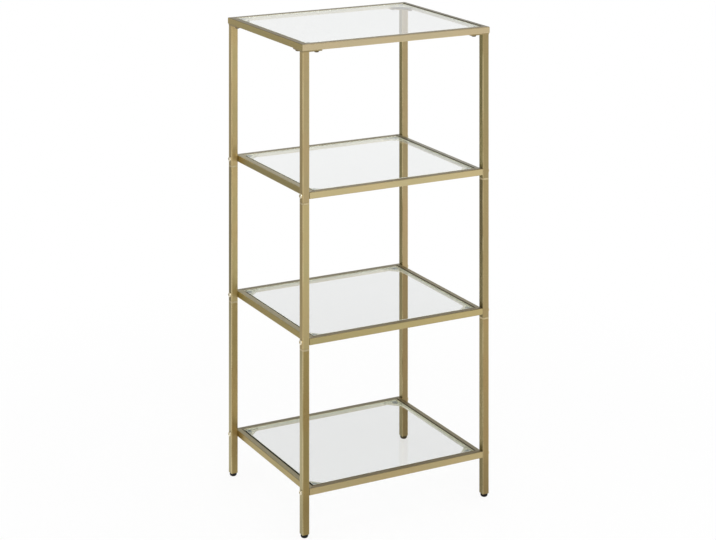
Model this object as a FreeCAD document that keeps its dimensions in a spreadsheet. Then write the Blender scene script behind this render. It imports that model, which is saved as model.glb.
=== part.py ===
import FreeCAD, Part
import Sketcher
import math
import os

# Etagere: four glass tiers in a frame of square steel tube, standing on four levelling feet.
# Millimetres, +Z up, +X to the right and -Y to the front; the origin is on the floor under the middle.

doc = FreeCAD.newDocument("etagere")
sheet = doc.addObject("Spreadsheet::Sheet", "sizes")

driving_sizes = {
    # overall size, and the height of each shelf's rail tops above the floor
    "overall_width": 402,
    "overall_depth": 332,
    "overall_height": 905,
    "upper_shelf_height": 633,
    "middle_shelf_height": 365,
    "lower_shelf_height": 90,
    # square tube of the rails, and the stouter one of the posts
    "rail_size": 12.7,
    "post_size": 14,
    "tube_wall": 1,
    "tube_corner": 1.6,
    "tube_bore_corner": 0.6,
    # posts: how far they stand inside the top frame, and where their lengths meet below a shelf
    "post_inset": 1,
    "seam_drop": 6,
    "seam_bevel": 0.4,
    # sleeves inside the post seams, each with a collar that shows between the two lengths
    "collar_height": 3.5,
    "sleeve_clearance": 0.15,
    "sleeve_wall": 1.2,
    "sleeve_corner": 1,
    "sleeve_bore_corner": 0.4,
    "sleeve_reach_down": 22,
    "sleeve_reach_past_rail": 4,
    # glass panes and what they lie on
    "glass_thickness": 5,
    "glass_gap": 2.5,
    "glass_drop": 0.6,
    "glass_corner": 3,
    "glass_arris": 0.6,
    "glass_pad_diameter": 9,
    "glass_pad_thickness": 1.2,
    "glass_pad_round": 0.3,
    "gusset_leg": 30,
    "gusset_tip": 3,
    "gusset_thickness": 2,
    "gusset_pad_offset": 9,
    # brackets that hold the posts under the top frame
    "bracket_leg": 40,
    "bracket_thickness": 2,
    "bracket_screw_edge": 9,
    # socket screws and the nuts set into the tube walls
    "screw_diameter": 5,
    "screw_head_diameter": 9.5,
    "screw_head_height": 2.75,
    "screw_head_rim": 0.55,
    "screw_key": 3,
    "screw_key_depth": 1.6,
    "screw_end_bevel": 0.6,
    "screw_past_nut": 0.5,
    "screw_hole_clearance": 0.25,
    "thread_clearance": 0.05,
    "nut_diameter": 7,
    "nut_hole_clearance": 0.05,
    "nut_bulge_lip": 0.5,
    "nut_bulge_length": 2.5,
    "nut_length": 8,
    # levelling feet
    "foot_diameter": 14,
    "foot_height": 7,
    "foot_floor": 2,
    "foot_round": 4,
    "foot_top_round": 0.6,
    "stud_diameter": 6,
    "stud_length": 22,
    "stud_clearance": 0.06,
    "stud_end_bevel": 0.8,
    "insert_length": 20,
}
for row, (alias, size) in enumerate(driving_sizes.items(), start=1):
    sheet.set(f"A{row}", alias)
    sheet.set(f"B{row}", str(size))
    sheet.setAlias(f"B{row}", alias)
doc.recompute()

# places that several pieces share
post_x = "(sizes.overall_width / 2 - sizes.post_inset - sizes.post_size / 2)"
post_y = "(sizes.overall_depth / 2 - sizes.post_inset - sizes.post_size / 2)"
shelf_frame_width = "(sizes.overall_width - 2 * sizes.post_inset - 2 * sizes.post_size)"
shelf_frame_depth = "(sizes.overall_depth - 2 * sizes.post_inset)"
post_bore = "(sizes.post_size - 2 * sizes.tube_wall)"
post_top = "(sizes.overall_height - sizes.rail_size - sizes.bracket_thickness)"
sleeve_size = f"({post_bore} - 2 * sizes.sleeve_clearance)"
screw_hole_radius = "(sizes.screw_diameter / 2 + sizes.screw_hole_clearance)"
nut_hole_radius = "(sizes.nut_diameter / 2 + sizes.nut_hole_clearance)"
stud_hole_radius = "(sizes.stud_diameter / 2 + sizes.stud_clearance)"
bracket_screw_offset = "(sizes.bracket_leg - sizes.bracket_screw_edge)"

# tier name: height of its rail tops, outer width and outer depth of its frame
tiers = {
    "top": ("sizes.overall_height", "sizes.overall_width", "sizes.overall_depth"),
    "upper_shelf": ("sizes.upper_shelf_height", shelf_frame_width, shelf_frame_depth),
    "middle_shelf": ("sizes.middle_shelf_height", shelf_frame_width, shelf_frame_depth),
    "lower_shelf": ("sizes.lower_shelf_height", shelf_frame_width, shelf_frame_depth),
}
shelves = [tier for tier in tiers if tier != "top"]
corners = {"front_left": (-1, -1), "front_right": (1, -1), "back_left": (-1, 1), "back_right": (1, 1)}

nodes = []


def number(expression):
    return float(sheet.evalExpression(expression))


def finish_node(piece, label):
    piece.Label = label
    nodes.append(piece)
    return piece


def place(piece, x, y, z, axis=FreeCAD.Vector(0, 0, 1), angle=0):
    piece.Placement = FreeCAD.Placement(FreeCAD.Vector(), FreeCAD.Rotation(axis, angle))
    for direction, expression in zip("xyz", (x, y, z)):
        piece.setExpression(f"Placement.Base.{direction}", expression)


def new_body(name):
    return doc.addObject("PartDesign::Body", name)


def new_sketch(body, name, role):
    sketch = body.newObject("Sketcher::SketchObject", name)
    plane = next(feature for feature in body.Origin.OriginFeatures if feature.Role == role)
    sketch.AttachmentSupport = [(plane, "")]
    sketch.MapMode = "FlatFace"
    return sketch


def dimension(sketch, name, expression, kind, *points):
    index = sketch.addConstraint(Sketcher.Constraint(kind, *points, number(expression)))
    sketch.renameConstraint(index, name)
    sketch.setExpression(f"Constraints.{name}", expression)


def pin_point(sketch, name, geometry, position, x, y):
    # a point on an axis is tied to the axis, any other point is measured from the origin
    for kind, letter, expression, axis in (("DistanceX", "x", x, -2), ("DistanceY", "y", y, -1)):
        if expression == "0":
            sketch.addConstraint(Sketcher.Constraint("PointOnObject", geometry, position, axis))
        else:
            dimension(sketch, f"{name}_{letter}", expression, kind, -1, 1, geometry, position)


def draw_outline(sketch, name, points):
    # closed outline of straight lines through points given as expressions
    spots = [FreeCAD.Vector(number(x), number(y), 0) for x, y in points]
    first = sketch.GeometryCount
    for start, end in zip(spots, spots[1:] + spots[:1]):
        sketch.addGeometry(Part.LineSegment(start, end))
    count = len(points)
    for index in range(count):
        following = first + (index + 1) % count
        sketch.addConstraint(Sketcher.Constraint("Coincident", first + index, 2, following, 1))
    for index, (x, y) in enumerate(points):
        pin_point(sketch, f"{name}_{index}", first + index, 1, x, y)


def draw_circle(sketch, name, x, y, radius):
    centre = FreeCAD.Vector(number(x), number(y), 0)
    circle = sketch.addGeometry(Part.Circle(centre, FreeCAD.Vector(0, 0, 1), number(radius)))
    if (x, y) == ("0", "0"):
        sketch.addConstraint(Sketcher.Constraint("Coincident", circle, 3, -1, 1))
    else:
        pin_point(sketch, name, circle, 3, x, y)
    dimension(sketch, f"{name}_radius", radius, "Radius", circle)


def draw_rounded_rectangle(sketch, name, width, height, corner):
    # four lines and four tangent corner arcs, centred on the origin
    side_x = number(width) / 2
    side_y = number(height) / 2
    radius = number(corner)
    flat_x = side_x - radius
    flat_y = side_y - radius
    first = sketch.GeometryCount
    lines = (
        ((-flat_x, side_y), (flat_x, side_y)),
        ((side_x, flat_y), (side_x, -flat_y)),
        ((flat_x, -side_y), (-flat_x, -side_y)),
        ((-side_x, -flat_y), (-side_x, flat_y)),
    )
    for start, end in lines:
        sketch.addGeometry(Part.LineSegment(FreeCAD.Vector(*start, 0), FreeCAD.Vector(*end, 0)))
    quarter = math.pi / 2
    arcs = ((flat_x, flat_y, 0), (flat_x, -flat_y, 3), (-flat_x, -flat_y, 2), (-flat_x, flat_y, 1))
    for x, y, turn in arcs:
        circle = Part.Circle(FreeCAD.Vector(x, y, 0), FreeCAD.Vector(0, 0, 1), radius)
        sketch.addGeometry(Part.ArcOfCircle(circle, turn * quarter, (turn + 1) * quarter))
    top, right, bottom, left = range(first, first + 4)
    arc_ids = range(first + 4, first + 8)
    # each arc runs anticlockwise from the line after it to the line before it
    for arc, before, after in zip(arc_ids, (top, right, bottom, left), (right, bottom, left, top)):
        sketch.addConstraint(Sketcher.Constraint("Tangent", before, 2, arc, 2))
        sketch.addConstraint(Sketcher.Constraint("Tangent", after, 1, arc, 1))
    for line in (top, bottom):
        sketch.addConstraint(Sketcher.Constraint("Horizontal", line))
    for line in (right, left):
        sketch.addConstraint(Sketcher.Constraint("Vertical", line))
    for arc in arc_ids[1:]:
        sketch.addConstraint(Sketcher.Constraint("Equal", arc_ids[0], arc))
    dimension(sketch, f"{name}_corner", corner, "Radius", arc_ids[0])
    dimension(sketch, f"{name}_width", width, "DistanceX", left, 1, right, 1)
    dimension(sketch, f"{name}_height", height, "DistanceY", bottom, 1, top, 1)
    sketch.addConstraint(Sketcher.Constraint("Symmetric", arc_ids[0], 3, arc_ids[2], 3, -1, 1))


def draw_tube_section(sketch, size):
    bore = f"({size} - 2 * sizes.tube_wall)"
    draw_rounded_rectangle(sketch, "outside", size, size, "sizes.tube_corner")
    draw_rounded_rectangle(sketch, "bore", bore, bore, "sizes.tube_bore_corner")


def pad(body, sketch, length, symmetric=False):
    feature = body.newObject("PartDesign::Pad", f"{sketch.Name}_pad")
    feature.Profile = sketch
    feature.SideType = "Symmetric" if symmetric else "One side"
    feature.setExpression("Length", length)
    return feature


def pocket(body, sketch, length, symmetric=False, turned=False):
    feature = body.newObject("PartDesign::Pocket", f"{sketch.Name}_pocket")
    feature.Profile = sketch
    feature.SideType = "Symmetric" if symmetric else "One side"
    feature.Reversed = turned
    feature.setExpression("Length", length)
    return feature


def revolve(body, sketch):
    feature = body.newObject("PartDesign::Revolution", f"{sketch.Name}_turned")
    feature.Profile = sketch
    feature.ReferenceAxis = (sketch, ["V_Axis"])
    feature.Angle = FreeCAD.Units.parseQuantity("360 deg")
    return feature


def edges_where(feature, test):
    doc.recompute()
    return [f"Edge{index}" for index, edge in enumerate(feature.Shape.Edges, start=1) if test(edge)]


def dress_edges(body, kind, feature, test, size):
    # a fillet or a chamfer on the edges that the test picks
    names = edges_where(feature, test)
    dress = body.newObject(f"PartDesign::{kind}", f"{feature.Name}_{kind}")
    dress.Base = (feature, names)
    dress.setExpression("Radius" if kind == "Fillet" else "Size", size)
    return dress


def lies_at(edge, height):
    box = edge.BoundBox
    return max(abs(box.ZMin - height), abs(box.ZMax - height)) < Part.Precision.confusion()


def is_ring(edge, radius):
    curve = edge.Curve
    return isinstance(curve, Part.Circle) and abs(curve.Radius - radius) < Part.Precision.confusion()


def four_corners(master, label):
    # the piece at the front left corner, mirrored to the other three corners
    copies = [master]
    for flip_x, flip_y in ((True, False), (False, True), (True, True)):
        copy = master
        for flip, normal in ((flip_x, FreeCAD.Vector(1, 0, 0)), (flip_y, FreeCAD.Vector(0, 1, 0))):
            if not flip:
                continue
            mirror = doc.addObject("Part::Mirroring", f"{label}_mirror")
            mirror.Source = copy
            mirror.Normal = normal
            copy = mirror
        copies.append(copy)
    return copies


def group(copies, label):
    compound = doc.addObject("Part::Compound", label)
    compound.Links = copies
    return finish_node(compound, label)


# Rails: mitred tubes along their own X, with their outer side towards -Y
def make_rail(label, length):
    body = new_body(label)
    section = new_sketch(body, f"{label}_section", "YZ_Plane")
    draw_tube_section(section, "sizes.rail_size")
    pad(body, section, length, symmetric=True)
    ends = new_sketch(body, f"{label}_mitres", "XY_Plane")
    for side, sign in (("right", ""), ("left", "-")):
        beyond = f"{sign}({length} / 2 + sizes.rail_size)"
        tip = f"{sign}({length} / 2 - 2 * sizes.rail_size)"
        outer = "-sizes.rail_size / 2 - sizes.rail_size"
        inner = "sizes.rail_size / 2 + sizes.rail_size"
        draw_outline(ends, side, ((beyond, outer), (beyond, inner), (tip, inner)))
    pocket(body, ends, "2 * sizes.rail_size", symmetric=True)
    return body


def make_top_rail(label, length):
    # the nuts for the bracket screws sit in the underside
    body = make_rail(label, length)
    holes = new_sketch(body, f"{label}_nut_holes", "XY_Plane")
    for side, sign in (("right", ""), ("left", "-")):
        reach = f"{sign}({length} / 2 - sizes.post_inset - {bracket_screw_offset})"
        draw_circle(holes, side, reach, "0", nut_hole_radius)
    pocket(body, holes, "sizes.rail_size")
    return body


def make_shelf_side_rail(label, length):
    # the nuts for the shelf screws sit in the outer side, in line with the posts
    body = make_rail(label, length)
    holes = new_sketch(body, f"{label}_nut_holes", "XZ_Plane")
    for side, sign in (("right", ""), ("left", "-")):
        reach = f"{sign}({length} / 2 - sizes.post_size / 2)"
        draw_circle(holes, side, reach, "0", nut_hole_radius)
    pocket(body, holes, "sizes.rail_size", turned=True)
    return body


def make_frame(tier):
    height, width, depth = tiers[tier]
    middle = f"{height} - sizes.rail_size / 2"
    to_side = f"{width} / 2 - sizes.rail_size / 2"
    to_front = f"{depth} / 2 - sizes.rail_size / 2"
    make_long = make_top_rail if tier == "top" else make_rail
    make_side = make_top_rail if tier == "top" else make_shelf_side_rail
    sides = (
        ("front", make_long, width, "0", f"-({to_front})", 0),
        ("back", make_long, width, "0", to_front, 180),
        ("left", make_side, depth, f"-({to_side})", "0", -90),
        ("right", make_side, depth, to_side, "0", 90),
    )
    for side, make, length, x, y, angle in sides:
        rail = make(f"{tier}_{side}_rail", length)
        place(rail, x, y, middle, angle=angle)
        finish_node(rail, f"{tier}_{side}_rail")


# Glass: a pane let into its frame, lying on pads on the corner gussets
def make_glass(tier):
    height, width, depth = tiers[tier]
    body = new_body(f"{tier}_glass")
    outline = new_sketch(body, f"{tier}_glass_outline", "XY_Plane")
    pane_width = f"({width} - 2 * sizes.rail_size - 2 * sizes.glass_gap)"
    pane_depth = f"({depth} - 2 * sizes.rail_size - 2 * sizes.glass_gap)"
    draw_rounded_rectangle(outline, "pane", pane_width, pane_depth, "sizes.glass_corner")
    pane = pad(body, outline, "sizes.glass_thickness")
    faces = (0, number("sizes.glass_thickness"))
    on_face = lambda edge: any(lies_at(edge, face) for face in faces)
    dress_edges(body, "Chamfer", pane, on_face, "sizes.glass_arris")
    place(body, "0", "0", f"{height} - sizes.glass_drop - sizes.glass_thickness")
    finish_node(body, f"{tier}_glass")


def make_gussets(tier):
    height, width, depth = tiers[tier]
    label = f"{tier}_gussets"
    body = new_body(f"{label}_front_left")
    outline = new_sketch(body, f"{label}_outline", "XY_Plane")
    leg, tip = "sizes.gusset_leg", "sizes.gusset_tip"
    draw_outline(outline, "plate", (("0", "0"), (leg, "0"), (leg, tip), (tip, leg), ("0", leg)))
    pad(body, outline, "sizes.gusset_thickness")
    seat = f"{height} - sizes.glass_drop - sizes.glass_thickness - sizes.glass_pad_thickness"
    corner_x = f"-({width} / 2 - sizes.rail_size)"
    corner_y = f"-({depth} / 2 - sizes.rail_size)"
    place(body, corner_x, corner_y, f"{seat} - sizes.gusset_thickness")
    group(four_corners(body, label), label)

    label = f"{tier}_glass_pads"
    disc = new_body(f"{label}_front_left")
    profile = new_sketch(disc, f"{label}_profile", "XZ_Plane")
    radius, thick = "sizes.glass_pad_diameter / 2", "sizes.glass_pad_thickness"
    draw_outline(profile, "disc", (("0", "0"), (radius, "0"), (radius, thick), ("0", thick)))
    turned = revolve(disc, profile)
    top_ring = lambda edge: lies_at(edge, number(thick)) and is_ring(edge, number(radius))
    dress_edges(disc, "Fillet", turned, top_ring, "sizes.glass_pad_round")
    place(disc, f"{corner_x} + sizes.gusset_pad_offset", f"{corner_y} + sizes.gusset_pad_offset", seat)
    group(four_corners(disc, label), label)


# Posts: three tube lengths, each with a cross hole for its shelf's screw
def make_post_length(label, bottom, top, shelf_height, has_lower_seam, has_upper_seam):
    body = new_body(label)
    section = new_sketch(body, f"{label}_section", "XY_Plane")
    draw_tube_section(section, "sizes.post_size")
    length = f"({top} - {bottom})"
    pad(body, section, length)
    hole = new_sketch(body, f"{label}_screw_hole", "YZ_Plane")
    hole_height = f"{shelf_height} - sizes.rail_size / 2 - {bottom}"
    draw_circle(hole, "hole", "0", hole_height, screw_hole_radius)
    drilled = pocket(body, hole, "2 * sizes.post_size", symmetric=True)
    # the outer rim is broken where the tube meets a collar
    middle_of_wall = number("sizes.post_size / 2 - sizes.tube_wall / 2")
    seams = [number(length)] * has_upper_seam + [0] * has_lower_seam

    def on_seam(edge):
        box = edge.BoundBox
        reach = max(abs(box.XMin), abs(box.XMax), abs(box.YMin), abs(box.YMax))
        return reach > middle_of_wall and any(lies_at(edge, seam) for seam in seams)

    dress_edges(body, "Chamfer", drilled, on_seam, "sizes.seam_bevel")
    return body


def collar_top(shelf):
    return f"({tiers[shelf][0]} - sizes.rail_size - sizes.seam_drop)"


def collar_foot(shelf):
    return f"({collar_top(shelf)} - sizes.collar_height)"


def make_posts():
    lengths = {
        "upper": (collar_top("upper_shelf"), post_top, "upper_shelf", True, False),
        "middle": (collar_top("middle_shelf"), collar_foot("upper_shelf"), "middle_shelf", True, True),
        "lower": ("sizes.foot_height", collar_foot("middle_shelf"), "lower_shelf", False, True),
    }
    for corner, (side_x, side_y) in corners.items():
        for part, (bottom, top, shelf, lower_seam, upper_seam) in lengths.items():
            label = f"{corner}_post_{part}"
            post = make_post_length(label, bottom, top, tiers[shelf][0], lower_seam, upper_seam)
            place(post, f"{side_x} * {post_x}", f"{side_y} * {post_y}", bottom)
            finish_node(post, label)


def make_post_sleeves(shelf):
    # a square sleeve inside each seam, held by the shelf's screw; its collar parts the two lengths
    label = f"{shelf}_post_sleeves"
    body = new_body(f"{label}_front_left")
    section = new_sketch(body, f"{label}_section", "XY_Plane")
    bore = f"({sleeve_size} - 2 * sizes.sleeve_wall)"
    draw_rounded_rectangle(section, "outside", sleeve_size, sleeve_size, "sizes.sleeve_corner")
    draw_rounded_rectangle(section, "bore", bore, bore, "sizes.sleeve_bore_corner")
    rail_foot = "(sizes.sleeve_reach_down + sizes.collar_height + sizes.seam_drop)"
    pad(body, section, f"{rail_foot} + sizes.rail_size + sizes.sleeve_reach_past_rail")
    ring = new_sketch(body, f"{label}_collar", "XY_Plane")
    ring.setExpression("AttachmentOffset.Base.z", "sizes.sleeve_reach_down")
    draw_rounded_rectangle(ring, "outside", "sizes.post_size", "sizes.post_size", "sizes.tube_corner")
    draw_rounded_rectangle(ring, "bore", bore, bore, "sizes.sleeve_bore_corner")
    pad(body, ring, "sizes.collar_height")
    hole = new_sketch(body, f"{label}_screw_hole", "YZ_Plane")
    draw_circle(hole, "hole", "0", f"{rail_foot} + sizes.rail_size / 2", screw_hole_radius)
    pocket(body, hole, "2 * sizes.post_size", symmetric=True)
    place(body, f"-{post_x}", f"-{post_y}", f"{collar_foot(shelf)} - sizes.sleeve_reach_down")
    group(four_corners(body, label), label)


# Fasteners: a screw lies along its own Z, with the underside of its head at the origin
def make_screw(name, grip):
    body = new_body(name)
    profile = new_sketch(body, f"{name}_profile", "XZ_Plane")
    shank = "sizes.screw_diameter / 2"
    head = "sizes.screw_head_diameter / 2"
    end = f"-({grip} + sizes.nut_length + sizes.screw_past_nut)"
    outline = (
        ("0", end),
        (f"{shank} - sizes.screw_end_bevel", end),
        (shank, f"{end} + sizes.screw_end_bevel"),
        (shank, "0"),
        (head, "0"),
        (head, "sizes.screw_head_height"),
        ("0", "sizes.screw_head_height"),
    )
    draw_outline(profile, "screw", outline)
    turned = revolve(body, profile)
    crown = number("sizes.screw_head_height")
    rim = lambda edge: lies_at(edge, crown) and is_ring(edge, number(head))
    dress_edges(body, "Fillet", turned, rim, "sizes.screw_head_height - sizes.screw_head_rim")
    socket = new_sketch(body, f"{name}_socket", "XY_Plane")
    socket.setExpression("AttachmentOffset.Base.z", "sizes.screw_head_height")
    # six corners, turned so that none of them lies on an axis
    reach = "sizes.screw_key / 2 / cos(30 deg)"
    hexagon = [(f"{reach} * cos({turn} deg)", f"{reach} * sin({turn} deg)") for turn in range(15, 360, 60)]
    draw_outline(socket, "hex", hexagon)
    pocket(body, socket, "sizes.screw_key_depth")
    return body


def make_nut(name):
    # a nut set in a tube wall, its face flush with the outside and its bulge behind the wall
    body = new_body(name)
    profile = new_sketch(body, f"{name}_profile", "XZ_Plane")
    bore = "(sizes.screw_diameter / 2 + sizes.thread_clearance)"
    sleeve = "sizes.nut_diameter / 2"
    bulge = "(sizes.nut_diameter / 2 + sizes.nut_bulge_lip)"
    behind = "-sizes.tube_wall"
    bulge_end = "-(sizes.tube_wall + sizes.nut_bulge_length)"
    end = "-sizes.nut_length"
    outline = (
        (bore, "0"),
        (sleeve, "0"),
        (sleeve, behind),
        (bulge, behind),
        (bulge, bulge_end),
        (sleeve, bulge_end),
        (sleeve, end),
        (bore, end),
    )
    draw_outline(profile, "nut", outline)
    revolve(body, profile)
    return body


def make_shelf_fasteners(shelf):
    height = f"{tiers[shelf][0]} - sizes.rail_size / 2"
    across = FreeCAD.Vector(0, 1, 0)
    screw = make_screw(f"{shelf}_screws_front_left", "sizes.post_size")
    place(screw, f"-({post_x} + sizes.post_size / 2)", f"-{post_y}", height, across, -90)
    group(four_corners(screw, f"{shelf}_screws"), f"{shelf}_screws")
    nut = make_nut(f"{shelf}_nuts_front_left")
    place(nut, f"-({post_x} - sizes.post_size / 2)", f"-{post_y}", height, across, -90)
    group(four_corners(nut, f"{shelf}_nuts"), f"{shelf}_nuts")


# Top joint: a bracket on each post, screwed up into the underside of two rails
def make_top_joint():
    leg, width = "sizes.bracket_leg", "sizes.rail_size"
    # the screws lie under the middle of the rails, which overhang the posts
    line = "(sizes.rail_size / 2 - sizes.post_inset)"
    body = new_body("post_brackets_front_left")
    plate = new_sketch(body, "post_brackets_plate", "XY_Plane")
    draw_outline(plate, "plate", (("0", "0"), (leg, "0"), (leg, width), (width, leg), ("0", leg)))
    pad(body, plate, "sizes.bracket_thickness")
    holes = new_sketch(body, "post_brackets_holes", "XY_Plane")
    draw_circle(holes, "along_x", bracket_screw_offset, line, screw_hole_radius)
    draw_circle(holes, "along_y", line, bracket_screw_offset, screw_hole_radius)
    pocket(body, holes, "sizes.bracket_thickness", turned=True)
    corner_x = f"-({post_x} + sizes.post_size / 2)"
    corner_y = f"-({post_y} + sizes.post_size / 2)"
    place(body, corner_x, corner_y, post_top)
    group(four_corners(body, "post_brackets"), "post_brackets")

    spots = {"long": (bracket_screw_offset, line), "short": (line, bracket_screw_offset)}
    screws = []
    nuts = []
    over = FreeCAD.Vector(1, 0, 0)
    for name, (along_x, along_y) in spots.items():
        x, y = f"{corner_x} + {along_x}", f"{corner_y} + {along_y}"
        screw = make_screw(f"bracket_screws_{name}", "sizes.bracket_thickness")
        place(screw, x, y, post_top, over, 180)
        screws += four_corners(screw, f"bracket_screws_{name}")
        nut = make_nut(f"bracket_nuts_{name}")
        place(nut, x, y, f"{post_top} + sizes.bracket_thickness", over, 180)
        nuts += four_corners(nut, f"bracket_nuts_{name}")
    group(screws, "bracket_screws")
    group(nuts, "bracket_nuts")


# Levelling feet: a threaded insert in the post, a stud and a rounded glide
def make_feet():
    body = new_body("foot_inserts_front_left")
    section = new_sketch(body, "foot_inserts_section", "XY_Plane")
    draw_rounded_rectangle(section, "plug", sleeve_size, sleeve_size, "sizes.sleeve_corner")
    draw_circle(section, "thread", "0", "0", stud_hole_radius)
    pad(body, section, "sizes.insert_length")
    place(body, f"-{post_x}", f"-{post_y}", "sizes.foot_height")
    group(four_corners(body, "foot_inserts"), "foot_inserts")

    radius, height, floor = "sizes.foot_diameter / 2", "sizes.foot_height", "sizes.foot_floor"
    shank, top = "sizes.stud_diameter / 2", "sizes.stud_length"
    glide_outline = (
        ("0", "0"),
        (radius, "0"),
        (radius, height),
        (stud_hole_radius, height),
        (stud_hole_radius, floor),
        ("0", floor),
    )
    stud_outline = (
        ("0", "0"),
        (shank, "0"),
        (shank, f"{top} - sizes.stud_end_bevel"),
        (f"{shank} - sizes.stud_end_bevel", top),
        ("0", top),
    )
    for corner, (side_x, side_y) in corners.items():
        x, y = f"{side_x} * {post_x}", f"{side_y} * {post_y}"
        glide = new_body(f"{corner}_foot_glide")
        profile = new_sketch(glide, f"{corner}_foot_glide_profile", "XZ_Plane")
        draw_outline(profile, "glide", glide_outline)
        turned = revolve(glide, profile)
        sole = lambda edge: lies_at(edge, 0) and is_ring(edge, number(radius))
        soled = dress_edges(glide, "Fillet", turned, sole, "sizes.foot_round")
        shoulder = lambda edge: lies_at(edge, number(height)) and is_ring(edge, number(radius))
        dress_edges(glide, "Fillet", soled, shoulder, "sizes.foot_top_round")
        place(glide, x, y, "0")
        finish_node(glide, f"{corner}_foot_glide")

        stud = new_body(f"{corner}_foot_stud")
        profile = new_sketch(stud, f"{corner}_foot_stud_profile", "XZ_Plane")
        draw_outline(profile, "stud", stud_outline)
        revolve(stud, profile)
        place(stud, x, y, floor)
        finish_node(stud, f"{corner}_foot_stud")


for tier in tiers:
    make_frame(tier)
    make_gussets(tier)
    make_glass(tier)
make_posts()
for shelf in ("upper_shelf", "middle_shelf"):
    make_post_sleeves(shelf)
for shelf in shelves:
    make_shelf_fasteners(shelf)
make_top_joint()
make_feet()
doc.recompute()

# nothing is written unless every object is sound and every cut took material away
for piece in doc.Objects:
    if {"Invalid", "Error"} & set(piece.State):
        raise RuntimeError(f"{piece.Label} failed to build: {piece.State}")
    if piece.TypeId == "PartDesign::Pocket":
        if piece.Shape.Volume >= piece.BaseFeature.Shape.Volume:
            raise RuntimeError(f"{piece.Label} cuts nothing")
for piece in nodes:
    if piece.Shape.isNull() or not piece.Shape.isValid():
        raise RuntimeError(f"{piece.Label} has no sound shape")

os.makedirs("parts", exist_ok=True)
for piece in nodes:
    piece.Shape.exportStep(f"parts/{piece.Label}.step")
    print(piece.Label, len(piece.Shape.Solids), round(piece.Shape.Volume, 1))
print(len(nodes), "nodes")
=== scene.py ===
import math

import bmesh
import bpy
from mathutils import Matrix, Vector


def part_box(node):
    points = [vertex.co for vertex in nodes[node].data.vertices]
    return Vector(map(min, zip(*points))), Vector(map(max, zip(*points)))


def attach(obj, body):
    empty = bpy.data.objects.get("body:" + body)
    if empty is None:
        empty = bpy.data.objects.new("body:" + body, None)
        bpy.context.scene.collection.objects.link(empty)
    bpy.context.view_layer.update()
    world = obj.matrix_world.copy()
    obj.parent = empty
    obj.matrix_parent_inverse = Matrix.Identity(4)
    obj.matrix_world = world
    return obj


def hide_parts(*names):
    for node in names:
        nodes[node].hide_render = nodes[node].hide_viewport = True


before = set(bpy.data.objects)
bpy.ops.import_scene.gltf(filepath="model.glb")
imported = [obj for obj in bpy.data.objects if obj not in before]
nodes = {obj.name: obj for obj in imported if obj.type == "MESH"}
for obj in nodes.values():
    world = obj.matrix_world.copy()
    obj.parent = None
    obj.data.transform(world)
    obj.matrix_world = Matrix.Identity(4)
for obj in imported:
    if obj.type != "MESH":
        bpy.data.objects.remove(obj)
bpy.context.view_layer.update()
scene = bpy.context.scene
print("frame loaded:", len(nodes), "nodes")

tiers = ("top", "upper_shelf", "middle_shelf", "lower_shelf")
shelves = tiers[1:]
seamShelves = shelves[:2]  # the posts' lengths meet under these
corners = ("front_left", "front_right", "back_left", "back_right")
xAxis, yAxis, zAxis = range(3)
white = (1, 1, 1, 1)


def middleOf(node):  # its box's centre, in the quarter where x and y are positive
    low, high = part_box(node)
    centre = (low + high) / 2
    return Vector((abs(centre.x), abs(centre.y), centre.z))


def widthOf(tube):
    low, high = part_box(tube)
    return sorted(high - low)[1]  # a tube is as wide as it is deep


postMiddle = middleOf("front_left_post_upper")
postTube = widthOf("front_left_post_upper")
railTube = widthOf("top_front_rail")


class Value:  # a shader socket that can stand in a sum
    def __init__(self, board, socket):
        self.board = board
        self.socket = socket

    def __add__(self, other):
        return self.board.maths("ADD", self, other)

    def __radd__(self, other):
        return self.board.maths("ADD", other, self)

    def __sub__(self, other):
        return self.board.maths("SUBTRACT", self, other)

    def __rsub__(self, other):
        return self.board.maths("SUBTRACT", other, self)

    def __mul__(self, other):
        return self.board.maths("MULTIPLY", self, other)

    def __rmul__(self, other):
        return self.board.maths("MULTIPLY", other, self)

    def __truediv__(self, other):
        return self.board.maths("DIVIDE", self, other)

    def __abs__(self):
        return self.board.maths("ABSOLUTE", self)


class Board:  # one node tree and the nodes put on it
    def __init__(self, tree):
        self.tree = tree
        tree.nodes.clear()

    def node(self, kind, settings=None, inputs=None, out=0):
        made = self.tree.nodes.new("ShaderNode" + kind)
        for name, setting in (settings or {}).items():
            setattr(made, name, setting)
        for name, value in (inputs or {}).items():
            if isinstance(value, Value):
                self.tree.links.new(value.socket, made.inputs[name])
            else:
                made.inputs[name].default_value = value
        return Value(self, made.outputs[out]) if made.outputs else None

    def maths(self, operation, *terms):
        return self.node("Math", {"operation": operation}, dict(enumerate(terms)))

    def blend(self, share, first, second):  # sockets 6, 7 and 2 are the node's colours
        return self.node("Mix", {"data_type": "RGBA"}, {0: share, 6: first, 7: second}, 2)

    def ease(self, value, low, high):  # 0 at low, 1 at high, soft at both ends
        return self.node("MapRange", {"interpolation_type": "SMOOTHSTEP"}, {0: value, 1: low, 2: high})

    def eased(self, value, look):
        return self.ease(value, look["low"], look["high"])

    def sway(self, value, reach):  # a value from 0 to 1, made to swing evenly about 0
        return (value - 0.5) * reach

    def axes(self, vector):
        first = self.node("SeparateXYZ", None, {0: vector})
        return [Value(self, socket) for socket in first.socket.node.outputs]

    def distance(self, first, second):
        return self.maths("SQRT", first * first + second * second)

    def noise(self, vector, scale, detail):
        return self.node("TexNoise", None, {"Vector": vector, "Scale": scale, "Detail": detail})

    def rayIs(self, *kinds):
        shares = [self.node("LightPath", None, None, "Is " + kind + " Ray") for kind in kinds]
        return self.maths("MINIMUM", sum(shares[1:], shares[0]), 1.0)


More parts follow.
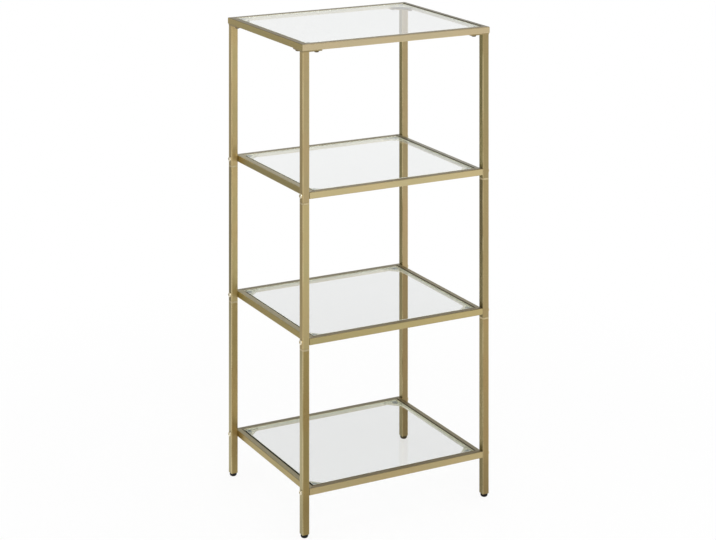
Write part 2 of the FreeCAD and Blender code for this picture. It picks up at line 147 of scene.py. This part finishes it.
class Finish(Board):  # a material, with its object's own coordinates at hand
    def __init__(self, name):
        self.material = bpy.data.materials.new(name)
        self.material.use_nodes = True
        super().__init__(self.material.node_tree)
        self.place = self.node("TexCoord", None, None, "Object")

    def pattern(self, look):  # soft patches
        return self.noise(self.place, look["perMetre"], look["detail"])

    def specks(self, look):  # one grey for each small cell
        cells = self.node("TexVoronoi", None, {"Vector": self.place, "Scale": look["perMetre"]}, "Color")
        return self.node("SeparateColor", None, {0: cells})

    def bump(self, height, depth):
        return self.node("Bump", None, {"Height": height, "Distance": depth, "Strength": 1.0})

    def close(self, surface, volume=None):
        ends = {"Surface": surface}
        if volume:
            ends["Volume"] = volume
        self.node("OutputMaterial", None, ends)
        return self.material


coat = {  # champagne paint with fine metal flakes
    "tones": {  # gold and olive drift into each other; inward, outward and upward sides have their own; the tones differ by painted light and shade, not by paint
        "front": {
            "gold": (0.585, 0.455, 0.235, 1), "olive": (0.545, 0.445, 0.235, 1),
            "inner": (0.80, 0.76, 0.60, 1), "upper": (0.30, 0.235, 0.130, 1),
        },
        "back": {
            "gold": (0.585, 0.455, 0.235, 1), "olive": (0.545, 0.445, 0.235, 1),
            "inner": (0.88, 0.86, 0.72, 1), "upper": (0.33, 0.29, 0.185, 1),
        },
        "left": {
            "gold": (0.360, 0.275, 0.092, 1), "olive": (0.335, 0.270, 0.092, 1),
            "inner": (0.80, 0.76, 0.60, 1), "upper": (0.56, 0.495, 0.315, 1),
        },
        "right": {
            "gold": (0.360, 0.275, 0.100, 1), "olive": (0.335, 0.270, 0.100, 1),
            "inner": (0.84, 0.82, 0.68, 1), "upper": (0.44, 0.385, 0.25, 1),
        },
        "post": {
            "gold": (0.455, 0.333, 0.148, 1), "olive": (0.425, 0.333, 0.150, 1),
            "inner": (0.235, 0.200, 0.070, 1), "outer": (0.440, 0.335, 0.138, 1),
        },
        "postFoot": {
            "gold": (0.385, 0.272, 0.095, 1), "olive": (0.360, 0.272, 0.097, 1),
            "inner": (0.300, 0.250, 0.105, 1), "outer": (0.400, 0.350, 0.175, 1),
        },
        "bracket": {"gold": (0.34, 0.26, 0.12, 1), "olive": (0.30, 0.24, 0.11, 1)},
        # the gussets' pale tone is a painted sheen of light on the same paint
        "gusset": {"gold": (0.74, 0.70, 0.56, 1), "olive": (0.68, 0.66, 0.54, 1), "metallic": 0.2},
    },
    "own": {  # painted light and shade that set a rail or post apart from its tone: its light scale multiplies gold and olive
        "top_front_rail": {"lightScale": (1, 1.03, 1.20)},
        "top_left_rail": {"lightScale": (1.08, 1.08, 1.10), "upper": (0.26, 0.20, 0.085, 1)},
        "top_back_rail": {"upper": (0.27, 0.235, 0.15, 1)},
        "top_right_rail": {"upper": (0.26, 0.235, 0.155, 1), "creaseShare": 0.95},
        "upper_shelf_front_rail": {"lightScale": (1, 1.04, 1.04)},
        "upper_shelf_right_rail": {"upper": (0.44, 0.42, 0.33, 1), "creaseShare": 0.95},
        "middle_shelf_front_rail": {"lightScale": (0.87, 0.90, 0.78)},
        "middle_shelf_left_rail": {"lightScale": (1.10, 1.08, 0.93)},
        "middle_shelf_right_rail": {"creaseShare": 0.95},
        "lower_shelf_front_rail": {"lightScale": (1.06, 1.06, 1.02)},
        "lower_shelf_left_rail": {"lightScale": (1.05, 1.05, 1.13), "creaseShare": 0.95},
        "lower_shelf_right_rail": {"inner": (0.95, 0.93, 0.78, 1), "creaseShare": 0.95},
        "lower_shelf_back_rail": {"inner": (1, 0.98, 0.80, 1)},
        "back_left_post_upper": {"lightScale": (1.10, 1.13, 1.16)},
        "back_left_post_middle": {"lightScale": (1.12, 1.14, 1.13), "outer": (0.28, 0.230, 0.090, 1)},
        "back_left_post_lower": {"lightScale": (1.04, 1.02, 1.06)},
        "front_left_post_upper": {"lightScale": (0.94, 0.97, 1.08)},
        "front_left_post_middle": {"lightScale": (1.09, 1.18, 1.24)},
        "front_right_post_upper": {"lightScale": (0.73, 0.75, 0.76)},
        "front_right_post_middle": {"lightScale": (0.79, 0.80, 0.82), "inner": (0.17, 0.14, 0.05, 1)},
        "front_right_post_lower": {"lightScale": (1.03, 1, 1.20)},
        "back_right_post_upper": {"lightScale": (0.87, 0.88, 0.98)},
        "back_right_post_middle": {"lightScale": (0.94, 0.93, 1.04)},
        "back_right_post_lower": {"lightScale": (0.76, 0.74, 0.90)},
    },
    "plainLightScale": (1, 1, 1),
    "flakesAndEdgeSheen": (0.80, 0.66, 0.38, 1),  # the flakes, and the worn edges with their painted highlight
    "seamDarkAndFloorShade": (0.15, 0.115, 0.05, 1),  # dark along the mitres' welds, and painted shade on the posts near the floor
    "creaseShade": (0.030, 0.026, 0.015, 1),  # painted shade in the crease where some rails' tops meet the glass
    "metallic": 0.94,
    "roughness": 0.34,
    "lacquer": 0.04,
    "lacquerRoughness": 0.16,
    "clouds": {"perMetre": 11, "detail": 3, "low": 0.35, "high": 0.65, "roughness": 0.10},
    "flakes": {"perMetre": 1900, "share": 0.14, "roughness": 0.10, "bump": 0.25},
    "peel": {"perMetre": 620, "detail": 1},
    "lines": {"across": 1100, "lengthwise": 5, "detail": 2, "roughness": 0.12, "bump": 0.5},
    "sides": {"low": 0.42, "high": 0.49},  # of the tube's width, from its middle line
    "sideShare": 0.85,
    "upperShare": 0.9,
    "crease": {"low": 0.22, "high": 0.36},  # of the tube's width, from its middle line to the glass
    "creaseRoughness": 0.5,  # more than the paint's
    "edges": {"low": 1.68, "high": 1.88},  # of half the tube's width, both ways across added up
    "wear": {"low": 0.30, "high": 0.62},  # of the clouds, where an edge is worn and painted with a highlight
    "edgeWearAndSheenShare": 0.5,
    "wearSmoothness": 0.06,  # less rough than the paint
    "seam": {"low": 0.0001, "high": 0.0003},  # from the mitre's line
    "seamShare": 0.45,
    "seamBump": 2.5,
    "floorShading": {"low": 0.060, "high": 0.090},  # height over the floor, below which the posts get painted shade
    "floorShadeShare": 0.24,
    "bumpDepth": 0.00002,
}


class Champagne(Finish):  # the paint, put on in layers
    def __init__(self, name, tone):
        super().__init__(name + "_champagne")
        self.shades = {**coat["tones"][tone], **coat["own"].get(name, {})}
        self.clouds = self.pattern(coat["clouds"])
        flakes = self.specks(coat["flakes"])
        drift = self.eased(self.clouds, coat["clouds"])
        self.colour = self.blend(drift, self.lightScaledShade("gold"), self.lightScaledShade("olive"))
        self.tint(flakes * coat["flakes"]["share"], coat["flakesAndEdgeSheen"])
        self.roughness = coat["roughness"] + self.sway(self.clouds, coat["clouds"]["roughness"])
        self.roughness = self.roughness + self.sway(flakes, coat["flakes"]["roughness"])
        self.height = self.pattern(coat["peel"]) + flakes * coat["flakes"]["bump"]

    # a tone scaled by the piece's painted light and shade
    def lightScaledShade(self, shade):
        lightScale = self.shades.get("lightScale", coat["plainLightScale"])
        return (*[part * factor for part, factor in zip(self.shades[shade], lightScale)], 1)

    def tint(self, share, colour):
        self.colour = self.blend(share, self.colour, colour)

    def measureTube(self, along, middle):  # how far a point lies from the tube's middle line
        self.x, self.y, self.z = self.axes(self.place)
        self.out = [abs(self.x) - middle.x, abs(self.y) - middle.y, self.z - middle.z]
        self.along = along
        self.isPost = along == zAxis
        self.width = postTube if self.isPost else railTube

    def easeAcross(self, distance, look):  # the look's ends are shares of the tube's width
        return self.ease(distance, self.width * look["low"], self.width * look["high"])

    def paintSideLight(self):
        # painted light and shade: near the floor, on the inward, outward and upward sides, and in some
        # rails' creases
        outside = self.out[yAxis if self.along == xAxis else xAxis]
        inside = 0 - outside
        if self.isPost:
            nearFloor = 1 - self.eased(self.z, coat["floorShading"])
            self.tint(nearFloor * coat["floorShadeShare"], coat["seamDarkAndFloorShade"])
        self.tint(self.easeAcross(inside, coat["sides"]) * coat["sideShare"], self.shades["inner"])
        if "outer" in self.shades:
            self.tint(self.easeAcross(outside, coat["sides"]) * coat["sideShare"], self.shades["outer"])
        if "upper" in self.shades:
            upper = self.easeAcross(self.out[zAxis], coat["sides"])
            self.tint(upper * coat["upperShare"], self.shades["upper"])
            if "creaseShare" in self.shades:
                # painted shade along the crease
                crease = upper * self.easeAcross(inside, coat["crease"])
                self.tint(crease * self.shades["creaseShare"], coat["creaseShade"])
                self.roughness = self.roughness + crease * coat["creaseRoughness"]

    def wearAndSheenEdges(self):
        # worn edges, made lighter with a painted highlight
        across = [abs(out) for axis, out in enumerate(self.out) if axis != self.along]
        edge = self.eased((across[0] + across[1]) / (self.width / 2), coat["edges"])
        edge = edge * self.eased(self.clouds, coat["wear"])
        if not self.isPost:  # a rail's upper edges get no wear and no painted highlight
            edge = edge * self.ease(0 - self.out[zAxis], 0, self.width * coat["sides"]["low"])
        self.tint(edge * coat["edgeWearAndSheenShare"], coat["flakesAndEdgeSheen"])
        self.roughness = self.roughness - edge * coat["wearSmoothness"]

    def drawLines(self):  # fine marks that run the tube's way
        lines = coat["lines"]
        scale = [lines["across"]] * 3
        scale[self.along] = lines["lengthwise"]
        stretched = self.node("Mapping", None, {"Vector": self.place, "Scale": scale})
        marks = self.noise(stretched, 1.0, lines["detail"])  # the mapping has scaled it
        self.roughness = self.roughness + self.sway(marks, lines["roughness"])
        self.height = self.height + marks * lines["bump"]

    def weldSeam(self, mitreCorner):  # the ground weld across a frame's corner
        fromMitre = abs((abs(self.x) - mitreCorner.x) - (abs(self.y) - mitreCorner.y))
        seam = 1 - self.eased(fromMitre, coat["seam"])
        self.tint(seam * coat["seamShare"], coat["seamDarkAndFloorShade"])
        self.height = self.height - seam * coat["seamBump"]

    def dry(self):
        metal = self.node("BsdfPrincipled", None, {
            "Base Color": self.colour,
            "Metallic": self.shades.get("metallic", coat["metallic"]),
            "Roughness": self.roughness,
            "Coat Weight": coat["lacquer"],
            "Coat Roughness": coat["lacquerRoughness"],
            "Normal": self.bump(self.height, coat["bumpDepth"]),
        })
        return self.close(metal)


def paintedTube(name, tone, along, middle, mitreCorner=None):
    paint = Champagne(name, tone)
    paint.measureTube(along, middle)
    paint.paintSideLight()
    paint.wearAndSheenEdges()
    paint.drawLines()
    if mitreCorner is not None:
        paint.weldSeam(mitreCorner)
    return paint.dry()


bright = {  # the paler, polished metal of screws and post collars
    "screw": {"pale": (0.86, 0.79, 0.60, 1), "deep": (0.70, 0.60, 0.40, 1), "roughness": 0.2},
    "collar": {"pale": (0.60, 0.50, 0.29, 1), "deep": (0.50, 0.41, 0.22, 1), "roughness": 0.34},
    "metallic": 0.9,
    "scuffs": {"perMetre": 420, "detail": 4, "low": 0.4, "high": 0.7, "roughness": 0.2, "bump": 0.6},
    "rings": {"radiansPerMetre": 8500, "bump": 0.3},
    "bumpDepth": 0.000012,
}


def polished(name, look, axisHeight=None):
    paint = Finish(name)
    shades = bright[look]
    scuffs = paint.pattern(bright["scuffs"])
    height = scuffs * bright["scuffs"]["bump"]
    if axisHeight is not None:  # turning marks round each screw's own axis
        y, z = paint.axes(paint.place)[yAxis:]
        radius = paint.distance(abs(y) - postMiddle.y, z - axisHeight)
        rings = paint.maths("SINE", radius * bright["rings"]["radiansPerMetre"])
        height = height + rings * bright["rings"]["bump"]
    metal = paint.node("BsdfPrincipled", None, {
        "Base Color": paint.blend(paint.eased(scuffs, bright["scuffs"]), shades["pale"], shades["deep"]),
        "Metallic": bright["metallic"],
        "Roughness": shades["roughness"] + paint.sway(scuffs, bright["scuffs"]["roughness"]),
        "Normal": paint.bump(height, bright["bumpDepth"]),
    })
    return paint.close(metal)


darkSteel = {  # blackened bracket screws
    "low": (0.050, 0.040, 0.028, 1),
    "high": (0.16, 0.125, 0.085, 1),
    "metallic": 0.95,
    "roughness": 0.38,
    "spots": {"perMetre": 700, "detail": 5, "low": 0.3, "high": 0.7, "roughness": 0.3},
    "grains": {"perMetre": 2800, "roughness": 0.1, "bump": 0.4},
    "bumpDepth": 0.00002,
}
zinc = {  # plated nuts and foot studs
    "low": (0.50, 0.51, 0.52, 1),
    "high": (0.74, 0.74, 0.70, 1),
    "metallic": 0.95,
    "roughness": 0.30,
    "spots": {"perMetre": 350, "detail": 5, "low": 0.3, "high": 0.7, "roughness": 0.3},
    "grains": {"perMetre": 1400, "roughness": 0.1, "bump": 0.4},
    "bumpDepth": 0.000015,
}


def plated(name, look):
    paint = Finish(name)
    spots = paint.pattern(look["spots"])
    grains = paint.specks(look["grains"])
    roughness = look["roughness"] + paint.sway(spots, look["spots"]["roughness"])
    metal = paint.node("BsdfPrincipled", None, {
        "Base Color": paint.blend(paint.eased(spots, look["spots"]), look["low"], look["high"]),
        "Metallic": look["metallic"],
        "Roughness": roughness + paint.sway(grains, look["grains"]["roughness"]),
        "Normal": paint.bump(spots + grains * look["grains"]["bump"], look["bumpDepth"]),
    })
    return paint.close(metal)


pane = {  # clear float glass
    "clear": white,
    "smeared": (0.97, 0.98, 0.975, 1),
    "smears": {"perMetre": 9, "detail": 5, "low": 0.50, "high": 0.85, "share": 0.5, "roughness": 0.02},
    "waves": {"perMetre": 6, "detail": 0, "depth": 0.00002},
    "bend": 1.52,
    "tint": (0.74, 0.93, 0.86, 1),
    "tintPerMetre": 7.0,
    "shadow": (0.90, 0.93, 0.91, 1),
}


def clearGlass(name):
    paint = Finish(name)
    smears = paint.eased(paint.pattern(pane["smears"]), pane["smears"])
    glass = paint.node("BsdfPrincipled", None, {
        "Base Color": paint.blend(smears * pane["smears"]["share"], pane["clear"], pane["smeared"]),
        "Roughness": smears * pane["smears"]["roughness"],
        "IOR": pane["bend"],
        "Transmission Weight": 1.0,
        "Normal": paint.bump(paint.pattern(pane["waves"]), pane["waves"]["depth"]),
    })
    letThrough = paint.node("BsdfTransparent", None, {"Color": pane["shadow"]})
    surface = paint.node("MixShader", None, {0: paint.rayIs("Shadow"), 1: glass, 2: letThrough})
    depth = paint.node("VolumeAbsorption", None, {"Color": pane["tint"], "Density": pane["tintPerMetre"]})
    return paint.close(surface, depth)


groundEdge = {  # a pane's ground rim: painted shade, dark, to the front and left; painted reflected light, pale and a little green, elsewhere
    "near": {"low": (0.003, 0.003, 0.002, 1), "high": (0.010, 0.009, 0.007, 1)},
    "far": {"low": (0.70, 0.72, 0.62, 1), "high": (0.86, 0.88, 0.76, 1)},
    "marks": {"perMetre": 900, "detail": 4, "roughness": 0.3},
    "roughness": 0.6,
    "shine": 0.15,
    "bumpDepth": 0.00003,
}


def groundGlass(name, side):
    paint = Finish(name)
    shades = groundEdge[side]
    marks = paint.pattern(groundEdge["marks"])
    rim = paint.node("BsdfPrincipled", None, {
        "Base Color": paint.blend(marks, shades["low"], shades["high"]),
        "Roughness": groundEdge["roughness"] + paint.sway(marks, groundEdge["marks"]["roughness"]),
        "Specular IOR Level": groundEdge["shine"],
        "Normal": paint.bump(marks, groundEdge["bumpDepth"]),
    })
    return paint.close(rim)


gel = {  # soft clear buttons under the glass
    "clear": (0.93, 0.94, 0.92, 1),
    "milky": (0.80, 0.82, 0.80, 1),
    "grain": {"perMetre": 1200, "detail": 3, "roughness": 0.25},
    "roughness": 0.22,
    "bend": 1.41,
    "clearness": 0.7,
    "bumpDepth": 0.00003,
}


def clearButton(name):
    paint = Finish(name)
    grain = paint.pattern(gel["grain"])
    rubber = paint.node("BsdfPrincipled", None, {
        "Base Color": paint.blend(grain, gel["clear"], gel["milky"]),
        "Roughness": gel["roughness"] + grain * gel["grain"]["roughness"],
        "IOR": gel["bend"],
        "Transmission Weight": gel["clearness"],
        "Normal": paint.bump(grain, gel["bumpDepth"]),
    })
    return paint.close(rubber)


black = {  # moulded feet and post inserts
    "low": (0.003, 0.003, 0.003, 1),
    "high": (0.012, 0.011, 0.011, 1),
    "grain": {"perMetre": 2400, "detail": 2, "roughness": 0.1},
    "scuffs": {"perMetre": 160, "detail": 5, "low": 0.45, "high": 0.75, "roughness": 0.18},
    "roughness": 0.40,
    "shine": 0.22,
    "bumpDepth": 0.00003,
}


def moulded(name):
    paint = Finish(name)
    grain = paint.pattern(black["grain"])
    scuffs = paint.eased(paint.pattern(black["scuffs"]), black["scuffs"])
    roughness = black["roughness"] + scuffs * black["scuffs"]["roughness"]
    plastic = paint.node("BsdfPrincipled", None, {
        "Base Color": paint.blend(scuffs, black["low"], black["high"]),
        "Roughness": roughness + paint.sway(grain, black["grain"]["roughness"]),
        "Specular IOR Level": black["shine"],
        "Normal": paint.bump(grain, black["bumpDepth"]),
    })
    return paint.close(plastic)


def dress(node, material):
    for slot in nodes[node].material_slots:
        slot.material = material


gussetCoat = Champagne("gusset", "gusset").dry()
for tier in tiers:
    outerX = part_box(tier + "_right_rail")[1].x
    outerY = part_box(tier + "_back_rail")[1].y
    mitreCorner = Vector((outerX, outerY, 0))
    for side, along in (("front", xAxis), ("back", xAxis), ("left", yAxis), ("right", yAxis)):
        rail = f"{tier}_{side}_rail"
        dress(rail, paintedTube(rail, side, along, middleOf(rail), mitreCorner))
    dress(tier + "_gussets", gussetCoat)
dress("post_brackets", Champagne("bracket", "bracket").dry())
for corner in corners:
    for length, tone in (("upper", "post"), ("middle", "post"), ("lower", "postFoot")):
        post = f"{corner}_post_{length}"
        dress(post, paintedTube(post, tone, zAxis, postMiddle))
print("champagne paint on rails, posts, gussets and brackets")

collarMetal = polished("collar_bright", "collar")
for shelf in shelves:
    screws = shelf + "_screws"
    dress(screws, polished(shelf + "_screw_bright", "screw", middleOf(screws).z))
for shelf in seamShelves:
    dress(shelf + "_post_sleeves", collarMetal)
dress("bracket_screws", plated("bracket_screw_dark", darkSteel))
zincPlate = plated("zinc_plate", zinc)
dress("bracket_nuts", zincPlate)
for shelf in shelves:
    dress(shelf + "_nuts", zincPlate)
blackPlastic = moulded("black_moulding")
dress("foot_inserts", blackPlastic)
for corner in corners:
    dress(corner + "_foot_stud", zincPlate)
    dress(corner + "_foot_glide", blackPlastic)
buttonFinish = clearButton("clear_button")
for tier in tiers:
    dress(tier + "_glass_pads", buttonFinish)
print("screws, nuts, sleeves, feet and pads finished:", len(bpy.data.materials), "materials so far")


def addObject(name, shape, *materials):
    mesh = bpy.data.meshes.new(name)
    shape.to_mesh(mesh)
    shape.free()
    for material in materials:
        mesh.materials.append(material)
    piece = bpy.data.objects.new(name, mesh)
    scene.collection.objects.link(piece)
    return piece


paneEdge = {  # what the panes have beyond their plain solids
    "corner": 0.003,
    "cornerSteps": 6,
    "arris": 0.0005,
    "level": 0.1,  # a face leans that much at most to count as flat or upright
}


def makePane(tier, clear, nearRim, farRim):
    low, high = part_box(tier + "_glass")
    size = high - low
    shape = bmesh.new()
    bmesh.ops.create_cube(shape, size=1)
    bmesh.ops.scale(shape, vec=size, verts=shape.verts)
    bmesh.ops.translate(shape, vec=(low + high) / 2, verts=shape.verts)
    uprights = [e for e in shape.edges if abs(e.verts[0].co.z - e.verts[1].co.z) > size.z / 2]
    bmesh.ops.bevel(shape, geom=uprights, offset=paneEdge["corner"], affect="EDGES",
                    segments=paneEdge["cornerSteps"], profile=0.5, material=-1)
    flat = 1 - paneEdge["level"]
    rims = [e for e in shape.edges if any(abs(f.normal.z) > flat for f in e.link_faces)]
    bmesh.ops.bevel(shape, geom=rims, offset=paneEdge["arris"], affect="EDGES",
                    segments=1, profile=0.5, material=-1)
    materials = [clear, nearRim, farRim]
    for face in shape.faces:
        across = face.normal.xy
        isRim = across.length > flat
        if isRim and min(across) < -paneEdge["level"]:  # it faces the front or the left
            face.material_index = materials.index(nearRim)
        elif across.length > paneEdge["level"]:  # the other rims, and all arrises
            face.material_index = materials.index(farRim)
    piece = addObject(tier + "_pane", shape, *materials)
    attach(piece, "frame")
    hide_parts(tier + "_glass")


floatGlass = clearGlass("float_glass")
nearRim = groundGlass("near_rim", "near")
farRim = groundGlass("far_rim", "far")
for tier in tiers:
    makePane(tier, floatGlass, nearRim, farRim)
print("panes let into", len(tiers), "frames")

ground = {  # the pale floor
    "radius": 14,
    "segments": 96,
    "low": (0.90, 0.90, 0.90, 1),
    "high": (0.94, 0.94, 0.94, 1),
    "patches": {"perMetre": 3, "detail": 3},
    "glow": 0.90,  # share of plain white that eyes, mirrors and glass see near the feet
    "allWhite": {"low": 0.4, "high": 1.4},  # distance from the object's middle
    "dimmed": {  # where the floor is grey in the metal's mirror: painted shade that only reflections see
        "behindLeft": {"place": (-2.0, 3.6), "reach": 3.4, "share": 0.55},
        "behindNear": {"place": (-0.95, 1.35), "reach": 1.4, "share": 0.45},
        "behindRight": {"place": (3.2, 1.7), "reach": 2.6, "share": 0.5},
        "farFront": {"place": (2.4, -4.6), "reach": 2.6, "share": 0.2},
        "inFront": {"place": (-0.05, -0.75), "reach": 0.95, "share": 0.5},
        "underneath": {"place": (0.05, 0.0), "reach": 0.4, "share": 0.45},
    },
    "dimCore": 0.2,  # share of a dim place's reach that is evenly dim
}


def paleFloor(name):
    paint = Finish(name)
    x, y = paint.axes(paint.place)[:zAxis]
    far = paint.eased(paint.distance(x, y), ground["allWhite"])
    patches = paint.pattern(ground["patches"])
    lit = paint.node("BsdfDiffuse", None, {"Color": paint.blend(patches, ground["low"], ground["high"])})
    mirrored = 1
    for dim in ground["dimmed"].values():
        centreX, centreY = dim["place"]
        away = paint.distance(x - centreX, y - centreY)
        clear = paint.ease(away, dim["reach"] * ground["dimCore"], dim["reach"])
        mirrored = mirrored * (1 - dim["share"] * (1 - clear))
    mirror = paint.rayIs("Glossy") * (1 - paint.rayIs("Transmission"))
    strength = 1 - mirror * (1 - mirrored)
    glow = paint.node("Emission", None, {"Color": white, "Strength": strength})
    seen = paint.rayIs("Camera", "Glossy", "Transmission")
    share = seen * (ground["glow"] + far * (1 - ground["glow"]))
    return paint.close(paint.node("MixShader", None, {0: share, 1: lit, 2: glow}))


def makeFloor():
    shape = bmesh.new()
    bmesh.ops.create_circle(shape, cap_ends=True, segments=ground["segments"], radius=ground["radius"])
    addObject("floor", shape, paleFloor("pale_floor"))


makeFloor()

studio = {  # the room's light: metal and glass show its wall and its dim ceiling
    "fill": 0.62,
    "wall": {"light": 0.82, "low": 0.02, "high": 0.10},  # low and high: upward part of a direction
    "ceiling": {"light": 0.26, "low": 0.20, "high": 0.40},
    "lamps": {
        "key": {"place": (-1.2, -3.0, 2.6), "aim": (0, 0, 0.5), "size": 1.4, "watts": 40},
        "overhead": {"place": (0.2, -0.3, 2.7), "aim": (0, 0, 0), "size": 2.4, "watts": 24},
    },
}


def lightWorld():
    world = bpy.data.worlds.new("studio")
    world.use_nodes = True
    scene.world = world
    sky = Board(world.node_tree)
    up = sky.axes(sky.node("TexCoord", None, None, "Generated"))[zAxis]
    wall = studio["wall"]
    ceiling = studio["ceiling"]
    sweep = 1 - sky.eased(up, wall) * (1 - wall["light"])
    sweep = sweep - sky.eased(up, ceiling) * (wall["light"] - ceiling["light"])
    direct = sky.rayIs("Camera")
    scattered = sky.maths("MINIMUM", sky.node("LightPath", None, None, "Diffuse Depth"), 1.0)
    shine = sky.rayIs("Glossy", "Transmission") * (1 - scattered)  # what lies under glass gets the fill too
    strength = direct + shine * sweep + (1 - direct - shine) * studio["fill"]
    glow = sky.node("Background", None, {"Color": white, "Strength": strength})
    sky.node("OutputWorld", None, {"Surface": glow})


def hangLamps():
    for name, lamp in studio["lamps"].items():
        light = bpy.data.lights.new(name, "AREA")
        light.shape = "SQUARE"
        light.size = lamp["size"]
        light.energy = lamp["watts"]
        holder = bpy.data.objects.new(name, light)
        holder.location = lamp["place"]
        towards = Vector(lamp["aim"]) - Vector(lamp["place"])
        holder.rotation_euler = towards.to_track_quat("-Z", "Y").to_euler()
        scene.collection.objects.link(holder)


lightWorld()
hangLamps()
scene.view_settings.view_transform = "Standard"
print("floor, world and lamps set")

camera = {
    "aimHeight": 0.4209,  # where the middle ray passes the object's upright middle line
    "aside": 0.0019,  # how far to the right of that line it passes
    "distance": 3.962,
    "turn": 28.01,  # degrees round to the left of the front
    "tilt": 16.74,  # degrees down
    "lens": 102.09,
    "filmWidth": 36,
}


def aimCamera():
    data = bpy.data.cameras.new("camera")
    data.sensor_fit = "HORIZONTAL"
    data.sensor_width = camera["filmWidth"]
    data.lens = camera["lens"]
    holder = bpy.data.objects.new("camera", data)
    # The picture's uprights are parallel, as with a rising front:
    # the lens looks down and the film stands upright.
    # The rig is drawn out along the line halfway between the two.
    rig = bpy.data.objects.new("camera_rig", None)
    upright = math.radians(90)
    turn = math.radians(-camera["turn"])
    half = (upright - math.radians(camera["tilt"])) / 2  # from that line to the lens, and to the film
    evenHalf = upright / 2  # the same in an even rig, where lens and film are square to each other
    around = Matrix.Rotation(turn, 3, "Z")
    down = Matrix.Rotation(2 * half, 3, "X")
    back = around @ down @ Vector((0, 0, camera["distance"]))
    aside = around @ Vector((camera["aside"], 0, 0))
    rig.location = Vector((0, 0, camera["aimHeight"])) + aside + back
    rig.rotation_euler = (upright + half, 0, turn)
    rig.scale = (1, math.cos(half) / math.cos(evenHalf), math.sin(half) / math.sin(evenHalf))
    holder.parent = rig
    holder.rotation_euler = (-evenHalf, 0, 0)
    scene.collection.objects.link(rig)
    scene.collection.objects.link(holder)
    scene.camera = holder


aimCamera()

print("camera set")
